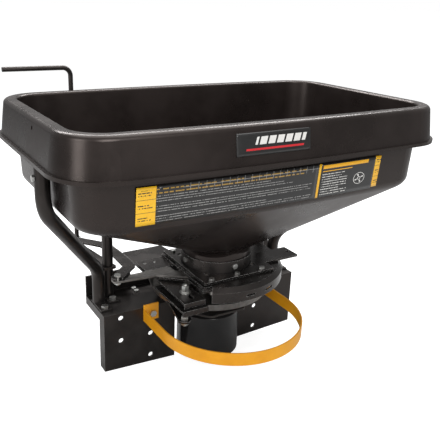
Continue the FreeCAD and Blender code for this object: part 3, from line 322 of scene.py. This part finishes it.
POLY = coated("moulded poly", POLY_DARK, POLY_LIGHT, 0.30, 420.0, 18.0, 0.00018, 0.10, 0.03,
              share=0.55, worn_and_highlit_edge=(0.05, 0.045, 0.042, 1), radius=0.0008, rounded=False, Specular_Tint=WARM)
COAT = coated("black powder coat", COAT_DARK, COAT_LIGHT, 0.33, 900.0, 60.0, 0.00012, 0.30, 0.04,
              radius=0.0009, Specular_Tint=WARM)
# cut sheet: edges lightened nearly to white at full mask, a painted highlight along the edges over some bare worn
# steel
COAT_WITH_EDGE_HIGHLIGHT = coated("black coat with painted edge highlight", COAT_DARK, COAT_LIGHT, 0.26, 900.0, 60.0, 0.00010, 1.5, 0.05,
                  worn_and_highlit_edge=(0.74, 0.73, 0.71, 1), radius=0.0007, Specular_Tint=WARM)
MOTOR = coated("motor enamel", MOTOR_DARK, MOTOR_LIGHT, 0.16, 300.0, 30.0, 0.00008, 0.15, 0.04)
GUARD = coated("orange powder coat", ORANGE_DARK, ORANGE_LIGHT, 0.34, 800.0, 30.0, 0.00012, 0.25, 0.03,
               worn_and_highlit_edge=(0.95, 0.62, 0.20, 1), radius=0.0008)
RUBBER = coated("black rubber", RUBBER_DARK, RUBBER_LIGHT, 0.62, 700.0, 70.0, 0.00015, 0.08, 0.15,
                worn_and_highlit_edge=(0.05, 0.05, 0.05, 1))
STEEL = plated("bright steel", STEEL_DARK, STEEL_LIGHT, 0.24, (1.0, 9.0, 9.0), 38.0, 0.00008)
GATE_STEEL = plated("mill steel", GATE_DARK, GATE_LIGHT, 0.28, (1.0, 9.0, 9.0), 38.0, 0.00008)
SPINNER = plated("spinner steel", SPINNER_DARK, SPINNER_LIGHT, 0.30, (4.0, 4.0, 1.0), 30.0, 0.00010)
ZINC = plated("zinc plate", ZINC_DARK, ZINC_LIGHT, 0.22, (1.0, 1.0, 2.0), 260.0, 0.00005)

WELD = plated("painted weld", (0.012, 0.011, 0.011, 1), (0.035, 0.033, 0.032, 1), 0.32, (1.0, 1.0, 1.0), 300.0,
              0.00010)

FINISH_OF = {
    "gate_plate": GATE_STEEL,
    "hopper": POLY,
    "guard_hoop": GUARD,
    "motor_can": MOTOR,
    "cable_gland": RUBBER,
    "left_upright_pad": RUBBER,
    "right_upright_pad": RUBBER,
}
SHEETS = ("gate_housing_plate", "gate_guide_plate", "neck_plate", "pattern_tray", "tray_support",
          "deflector_skirt", "neck_band", "crank_arm", "outrigger_arm", "gate_rails")
BRIGHT = ( "motor_flange", "motor", "drive_shaft", "agitator", "stack_spacers",
          "outrigger_spacers")
SPINNING = ("spinner_dish", "spinner_fins", "spinner_hub")
FASTENED = ("bolts", "nuts", "screws", "link_pin", "stud")


def finish_for(name):
    """The material of a CAD node, from its own name or from what it ends with."""
    if name in FINISH_OF:
        return FINISH_OF[name]
    # sheets take the coat with a painted highlight along their cut edges
    if name in SHEETS:
        return COAT_WITH_EDGE_HIGHLIGHT
    if name in BRIGHT:
        return STEEL
    if name in SPINNING:
        return SPINNER
    if name.endswith(FASTENED):
        return ZINC
    return COAT


def dress_cad():
    """Gives each CAD node its finish, in the slots that it has."""
    for name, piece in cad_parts.items():
        if not piece.material_slots:
            piece.data.materials.append(None)
        for slot in piece.material_slots:
            slot.material = finish_for(name)


# ---------------------------------------------------------------- surfaces
def surface(name, grid, material, body, uv=None, close_u=False, close_v=False, smooth=True):
    """A mesh from a grid of points, rows along u and columns along v, which wraps round where it is closed."""
    rows, columns = grid.shape[:2]
    index = np.arange(rows * columns).reshape(rows, columns)
    if close_u:
        index = np.vstack([index, index[:1]])
    if close_v:
        index = np.hstack([index, index[:, :1]])
    corners = np.stack([index[:-1, :-1], index[1:, :-1], index[1:, 1:], index[:-1, 1:]], axis=-1).reshape(-1, 4)
    mesh = bpy.data.meshes.new(name)
    mesh.from_pydata(grid.reshape(-1, 3), [], corners)
    if uv is not None:
        layer = mesh.uv_layers.new(name="print")
        layer.data.foreach_set("uv", uv.reshape(-1, 2)[corners.reshape(-1)].astype(np.float32).ravel())
    mesh.polygons.foreach_set("use_smooth", np.full(len(corners), smooth))
    mesh.materials.append(material)
    mesh.update()
    piece = bpy.data.objects.new(name, mesh)
    bpy.context.scene.collection.objects.link(piece)
    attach(piece, body)
    return piece


def body_wall(x, z):
    """Front face of the hopper's body: leans in toward its foot and falls back as the square of x."""
    share = (WALL_TOP_Z - z) / (WALL_TOP_Z - WALL_FOOT_Z)
    return WALL_TOP_Y + (WALL_FOOT_Y - WALL_TOP_Y) * share + x ** 2 / (2 * BOW_RADIUS)


def band_wall(x, z):
    """Front face of the rim band: leans in toward its top and falls back as the square of x."""
    share = (z - BAND_FOOT_Z) / (BAND_TOP_Z - BAND_FOOT_Z)
    return BAND_FOOT_Y + (BAND_TOP_Y - BAND_FOOT_Y) * share + x ** 2 / (2 * BOW_RADIUS)


def decal(name, left, right, foot, top, wall, material, lift=0.0):
    """Printed film: a grid over the wall from left to right and foot to top, with its map in millimetres."""
    across, up = np.meshgrid(np.linspace(left, right, 41), np.linspace(foot, top, 9), indexing="ij")
    out = wall(across, up) - DECAL_PROUD - lift
    uv = np.stack([(across - left) / MM, (up - foot) / MM], axis=-1)
    piece = surface(name, np.stack([across, out, up], axis=-1), material, "frame", uv=uv)
    film = piece.modifiers.new("film", "SOLIDIFY")
    film.thickness = DECAL_THICK
    film.offset = -1.0
    return piece


def printed(name, ground, **fixed):
    """Glossy printed film: gives the net, the shader, and the film's two coordinates in millimetres."""
    material, net, principled, where = shader(name, Coat_Weight=0.5, Coat_Roughness=0.12, **fixed)
    uv = net.add("UVMap", uv_map="print").outputs["UV"]
    parts = net.add("SeparateXYZ", {"Vector": uv}).outputs
    skin = net.group(SKIN, Vector=where, Peel=500.0, Swell=40.0, Share=0.6)
    net.put(principled.inputs["Roughness"], net.ramp(skin["Tone"], 0.0, 1.0, 0.28, 0.42))
    bump = net.add("Bump", {"Strength": 0.3, "Distance": 0.0001, "Height": skin["Height"]})
    net.put(principled.inputs["Normal"], bump.outputs[0])
    paler = tuple(min(1.0, c * 1.25 + 0.002) for c in ground[:3]) + (1,)
    return material, net, principled, parts["X"], parts["Y"], net.mix(skin["Tone"], ground, paler)


def between(net, value, low, high):
    """One where the value lies between low and high."""
    above = net.maths("GREATER_THAN", value, low)
    return net.maths("MULTIPLY", above, net.maths("LESS_THAN", value, high))


NOTE_PITCH = 4.1          # rows of the chart, in the print's millimetres


def make_chart_print(width, height):
    """Setting chart: a ruler of squares along the top and rows of generic dashes under it."""
    material, net, principled, u, v, ground = printed("chart print", LABEL_BLACK)
    low = height - 13.0
    ruler = between(net, v, low, height - 1.0)
    tick = net.maths("LESS_THAN", net.maths("FRACT", net.maths("DIVIDE", u, 14.0)), 0.045)
    rule = between(net, v, low + 5.6, low + 6.2)
    squares = net.maths("MULTIPLY", net.maths("MAXIMUM", tick, rule), ruler)
    beyond = net.maths("GREATER_THAN", u, 44.0)
    squares = net.maths("MULTIPLY", squares, beyond)
    values = net.group(ROWS, U=u, V=net.maths("SUBTRACT", v, low), Pitch=6.0, Height=0.34, Width=width,
                       Dash=0.22)["Mask"]
    values = net.maths("MULTIPLY", net.maths("MULTIPLY", values, ruler), net.maths("SUBTRACT", 1.0, squares))
    notes = net.group(ROWS, U=u, V=v, Pitch=NOTE_PITCH, Height=0.26, Width=width * 0.98, Dash=0.75)["Mask"]
    block = net.maths("FRACT", net.maths("DIVIDE", v, NOTE_PITCH * 4))
    notes = net.maths("MULTIPLY", notes, net.maths("GREATER_THAN", block, 0.25))
    notes = net.maths("MULTIPLY", notes, between(net, v, 4.0, low - 2.0))
    colour = net.mix(values, ground, LABEL_OCHRE)
    colour = net.mix(net.maths("MAXIMUM", squares, notes), colour, LABEL_GREY)
    net.put(principled.inputs["Base Color"], colour)
    return material


def make_block_print(height):
    """Yellow side block: two dark rules and short rows of generic dashes."""
    material, net, principled, u, v, ground = printed("block print", LABEL_YELLOW)
    third = height / 3.0
    rules = net.maths("LESS_THAN", net.maths("FRACT", net.maths("DIVIDE", v, third)), 0.03)
    rows = net.group(ROWS, U=net.maths("SUBTRACT", u, 3.0), V=v, Pitch=4.0, Height=0.42, Width=24.0, Dash=0.6)["Mask"]
    middle = between(net, net.maths("FRACT", net.maths("DIVIDE", v, third)), 0.30, 0.72)
    ink = net.maths("MAXIMUM", rules, net.maths("MULTIPLY", net.maths("MULTIPLY", rows, middle),
                                                net.maths("GREATER_THAN", u, 3.0)))
    net.put(principled.inputs["Base Color"], net.mix(ink, ground, LABEL_BLACK))
    return material


def make_notice_print(width, height):
    """Notice panel: a yellow heading rule, short rows of dashes, and a round symbol of plain rings and blades."""
    material, net, principled, u, v, ground = printed("notice print", LABEL_BLACK)
    heading = net.maths("MULTIPLY", between(net, v, height - 10.0, height - 3.5), between(net, u, 4.0, width - 6.0))
    under = net.maths("MULTIPLY", between(net, v, height - 15.5, height - 14.0), between(net, u, 4.0, width * 0.62))
    rows = net.group(ROWS, U=net.maths("SUBTRACT", u, 4.0), V=v, Pitch=4.6, Height=0.30, Width=width * 0.52,
                     Dash=0.75)["Mask"]
    rows = net.maths("MULTIPLY", rows, net.maths("MULTIPLY", between(net, v, 4.0, height - 18.0),
                                                 net.maths("GREATER_THAN", u, 4.0)))
    along = net.maths("SUBTRACT", u, width * 0.80)
    rise = net.maths("MULTIPLY", net.maths("SUBTRACT", v, height * 0.40), 1.25)
    away = net.maths("SQRT", net.maths("ADD", net.maths("MULTIPLY", along, along),
                                       net.maths("MULTIPLY", rise, rise)))
    ring = net.maths("MAXIMUM", between(net, away, 12.6, 13.8), between(net, away, 2.6, 4.0))
    turn = net.maths("ARCTAN2", rise, along)
    blade = net.maths("GREATER_THAN", net.maths("SINE", net.maths("MULTIPLY", turn, 4.0)), 0.72)
    symbol = net.maths("MAXIMUM", ring, net.maths("MULTIPLY", blade, between(net, away, 5.0, 10.5)))
    colour = net.mix(net.maths("MAXIMUM", rows, symbol), ground, LABEL_WHITE)
    colour = net.mix(net.maths("MAXIMUM", heading, under), colour, LABEL_YELLOW)
    net.put(principled.inputs["Base Color"], colour)
    return material


def make_plain_print(name, colour):
    """Film of one ink, with the film's own slight unevenness."""
    material, net, principled, u, v, ground = printed(name, colour)
    net.put(principled.inputs["Base Color"], ground)
    return material


def make_badge_print(width, height):
    """Badge: a plain white bar with slanted cuts over a thin red bar, on a dark ground."""
    material, net, principled, u, v, ground = printed("badge print", LABEL_BLACK)
    slant = net.maths("SUBTRACT", u, net.maths("MULTIPLY", v, 0.35))
    cuts = net.maths("GREATER_THAN", net.maths("FRACT", net.maths("DIVIDE", slant, width * 0.115)), 0.22)
    bar = net.maths("MULTIPLY", between(net, v, height * 0.46, height * 0.80),
                    between(net, slant, width * 0.20, width * 0.88))
    white = net.maths("MULTIPLY", bar, cuts)
    red = net.maths("MULTIPLY", between(net, v, height * 0.22, height * 0.31),
                    between(net, slant, width * 0.10, width * 0.88))
    colour = net.mix(white, ground, LABEL_WHITE)
    net.put(principled.inputs["Base Color"], net.mix(red, colour, LABEL_RED))
    return material


def make_decals():
    """The printed films of the body's front wall and the badge on the rim band."""
    foot, top = 0.3335, 0.3960
    height = (top - foot) / MM
    decal("chart_block", -0.264, -0.232, foot, top, body_wall, make_block_print(height))
    decal("chart_panel", -0.2315, 0.0760, foot, top, body_wall, make_chart_print(302.0, height))
    decal("chart_end_bar", 0.0765, 0.0815, foot, top, body_wall, make_plain_print("yellow print", LABEL_YELLOW))
    decal("notice_panel", 0.0820, 0.2120, foot, top, body_wall, make_notice_print(118.0, height))
    decal("notice_block", 0.2125, 0.2260, foot + 0.002, top, body_wall, make_block_print(height))
    decal("badge", -0.112, 0.030, 0.4330, 0.4680, band_wall, make_badge_print(142.0, 35.0))


def thread(name, x, y, low, high, radius, pitch, depth, material, body, replaced=None):
    """Screw thread: a rod whose radius falls from crest to root and back once a pitch, the pitch being measured
    along the height less the turn, with both ends closed by drawing the last rings in to the axis."""
    turn = np.linspace(0, 2 * np.pi, 24, endpoint=False)
    height = np.linspace(low, high, int((high - low) / pitch * 8))
    around, up = np.meshgrid(turn, height)
    phase = (up / pitch - around / (2 * np.pi)) % 1.0
    reach = radius - depth * np.abs(2 * phase - 1)
    chamfer = np.minimum(up - low, high - up)
    reach = np.minimum(reach, radius - depth + chamfer)
    reach = np.vstack([np.zeros((1, 24)) + 1e-5, reach, np.zeros((1, 24)) + 1e-5])
    up = np.vstack([up[:1], up, up[-1:]])
    around = np.vstack([around[:1], around, around[-1:]])
    grid = np.stack([x + reach * np.cos(around), y + reach * np.sin(around), up], axis=-1)
    piece = surface(name, grid[::-1], material, body, close_v=True, smooth=False)
    if replaced:
        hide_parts(replaced)
    return piece


def weld_bead(name, x, y, z, half_x, half_y, corner, throat, material):
    """Fillet weld round a tube's foot: a ring of a rounded box in plan, its section a quarter bulge that swells
    and shrinks with a ripple along the ring."""
    turn = np.linspace(0, 2 * np.pi, 180, endpoint=False)
    across = np.linspace(0, np.pi / 2, 7)
    around, lean = np.meshgrid(turn, across, indexing="ij")
    swell = throat * (1.0 + 0.16 * np.sin(around * 26) + 0.08 * np.sin(around * 7 + 1.0))
    flat = np.sign(np.cos(around)) * np.abs(np.cos(around)) ** corner
    deep = np.sign(np.sin(around)) * np.abs(np.sin(around)) ** corner
    out = swell * np.cos(lean)
    grid = np.stack([
        x + flat * (half_x + out),
        y + deep * (half_y + out),
        z + swell * np.sin(lean),
    ], axis=-1)
    return surface(name, grid, material, "frame", close_u=True)


def make_hardware():
    """Threads and welds that the CAD nodes leave plain."""
    low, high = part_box("support_stud")
    centre = (low + high) / 2
    radius = (high.x - low.x) / 2
    thread("tray_stud_thread", centre.x, centre.y, low.z, high.z, radius, 0.00125, 0.0006, ZINC, "frame",
           "support_stud")
    for side in ("left", "right"):
        low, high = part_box(side + "_upright")
        half_x = (high.x - low.x) / 2
        half_y = (high.y - low.y) / 2
        weld_bead(side + "_upright_weld", (low.x + high.x) / 2, (low.y + high.y) / 2, low.z, half_x, half_y,
                  1.0, 0.0028, WELD)


# ---------------------------------------------------------------- stage, light and camera
def make_floor():
    """A pale floor, level with the lowest part of the object, laid flat and wide."""
    low = cad_box[0].z - 0.0005
    along, deep = np.meshgrid(np.linspace(-60, 60, 3), np.linspace(-60, 60, 3), indexing="ij")
    grid = np.stack([along, deep, np.full_like(along, low)], axis=-1)
    mesh = bpy.data.meshes.new("floor")
    index = np.arange(9).reshape(3, 3)
    faces = np.stack([index[:-1, :-1], index[1:, :-1], index[1:, 1:], index[:-1, 1:]], axis=-1).reshape(-1, 4)
    mesh.from_pydata(grid.reshape(-1, 3), [], faces)
    material, net, principled, where = shader("studio floor", Roughness=0.9)
    principled.inputs["Emission Color"].default_value = (1, 1, 1, 1)
    seen = net.add("LightPath").outputs["Is Camera Ray"]
    net.put(principled.inputs["Emission Strength"], net.maths("MULTIPLY", seen, 0.84))
    speck = net.noise(where, 3.0, 2.0)
    net.put(principled.inputs["Base Color"], net.mix(speck, (0.46, 0.46, 0.46, 1), (0.50, 0.50, 0.50, 1)))
    mesh.materials.append(material)
    floor = bpy.data.objects.new("floor", mesh)
    bpy.context.scene.collection.objects.link(floor)


def softbox(name, place, aim, size, power, tint=(1, 1, 1)):
    """A rectangular area light at a place, turned to face a point."""
    light = bpy.data.lights.new(name, "AREA")
    light.shape = "RECTANGLE"
    light.size, light.size_y = size
    light.energy = power
    light.color = tint
    lamp = bpy.data.objects.new(name, light)
    bpy.context.scene.collection.objects.link(lamp)
    away = np.array(place) - np.array(aim)
    lamp.location = place
    lamp.rotation_mode = "QUATERNION"
    lamp.rotation_quaternion = Vector(away).to_track_quat("Z", "Y")


def light_studio():
    """Soft light: a pale world, a large box overhead, a front box, and a long one behind for the rim."""
    world = bpy.data.worlds.new("studio")
    bpy.context.scene.world = world
    world.use_nodes = True
    back = world.node_tree.nodes["Background"]
    back.inputs["Color"].default_value = (1.0, 1.0, 1.0, 1)
    net = Net(world.node_tree)
    seen = net.add("LightPath").outputs["Is Camera Ray"]
    net.put(back.inputs["Strength"], net.ramp(seen, 0.0, 1.0, 0.34, 1.0))
    softbox("overhead", (0.1, 0.1, 2.3), (0, -0.1, 0.3), (3.0, 2.0), 46)
    softbox("front", (-0.4, -2.4, 1.5), (0, -0.1, 0.3), (1.6, 0.7), 30)
    softbox("left", (-2.2, -0.9, 0.9), (-0.3, -0.1, 0.3), (0.8, 1.2), 18)
    softbox("behind", (0.6, 1.5, 2.2), (0, 0, 0.45), (3.6, 0.5), 85)
    bpy.context.scene.view_settings.view_transform = "Standard"


def make_camera():
    """Camera in front of the left end, a little above the rim, looking down on the funnel."""
    data = bpy.data.cameras.new("camera")
    camera = bpy.data.objects.new("camera", data)
    bpy.context.scene.collection.objects.link(camera)
    turn = Matrix.Rotation(math.radians(-30.43), 4, "Z")
    tilt = Matrix.Rotation(math.radians(90 - 18.97), 4, "X")
    roll = Matrix.Rotation(math.radians(1.69), 4, "Z")
    camera.matrix_world = Matrix.Translation((-0.6086, -0.9964, 0.6570)) @ turn @ tilt @ roll
    data.sensor_width = 36.0
    data.lens = 49.41
    data.shift_x = 0.05
    data.shift_y = -0.03
    bpy.context.scene.camera = camera


dress_cad()
make_decals()
make_hardware()
make_floor()
light_studio()
make_camera()
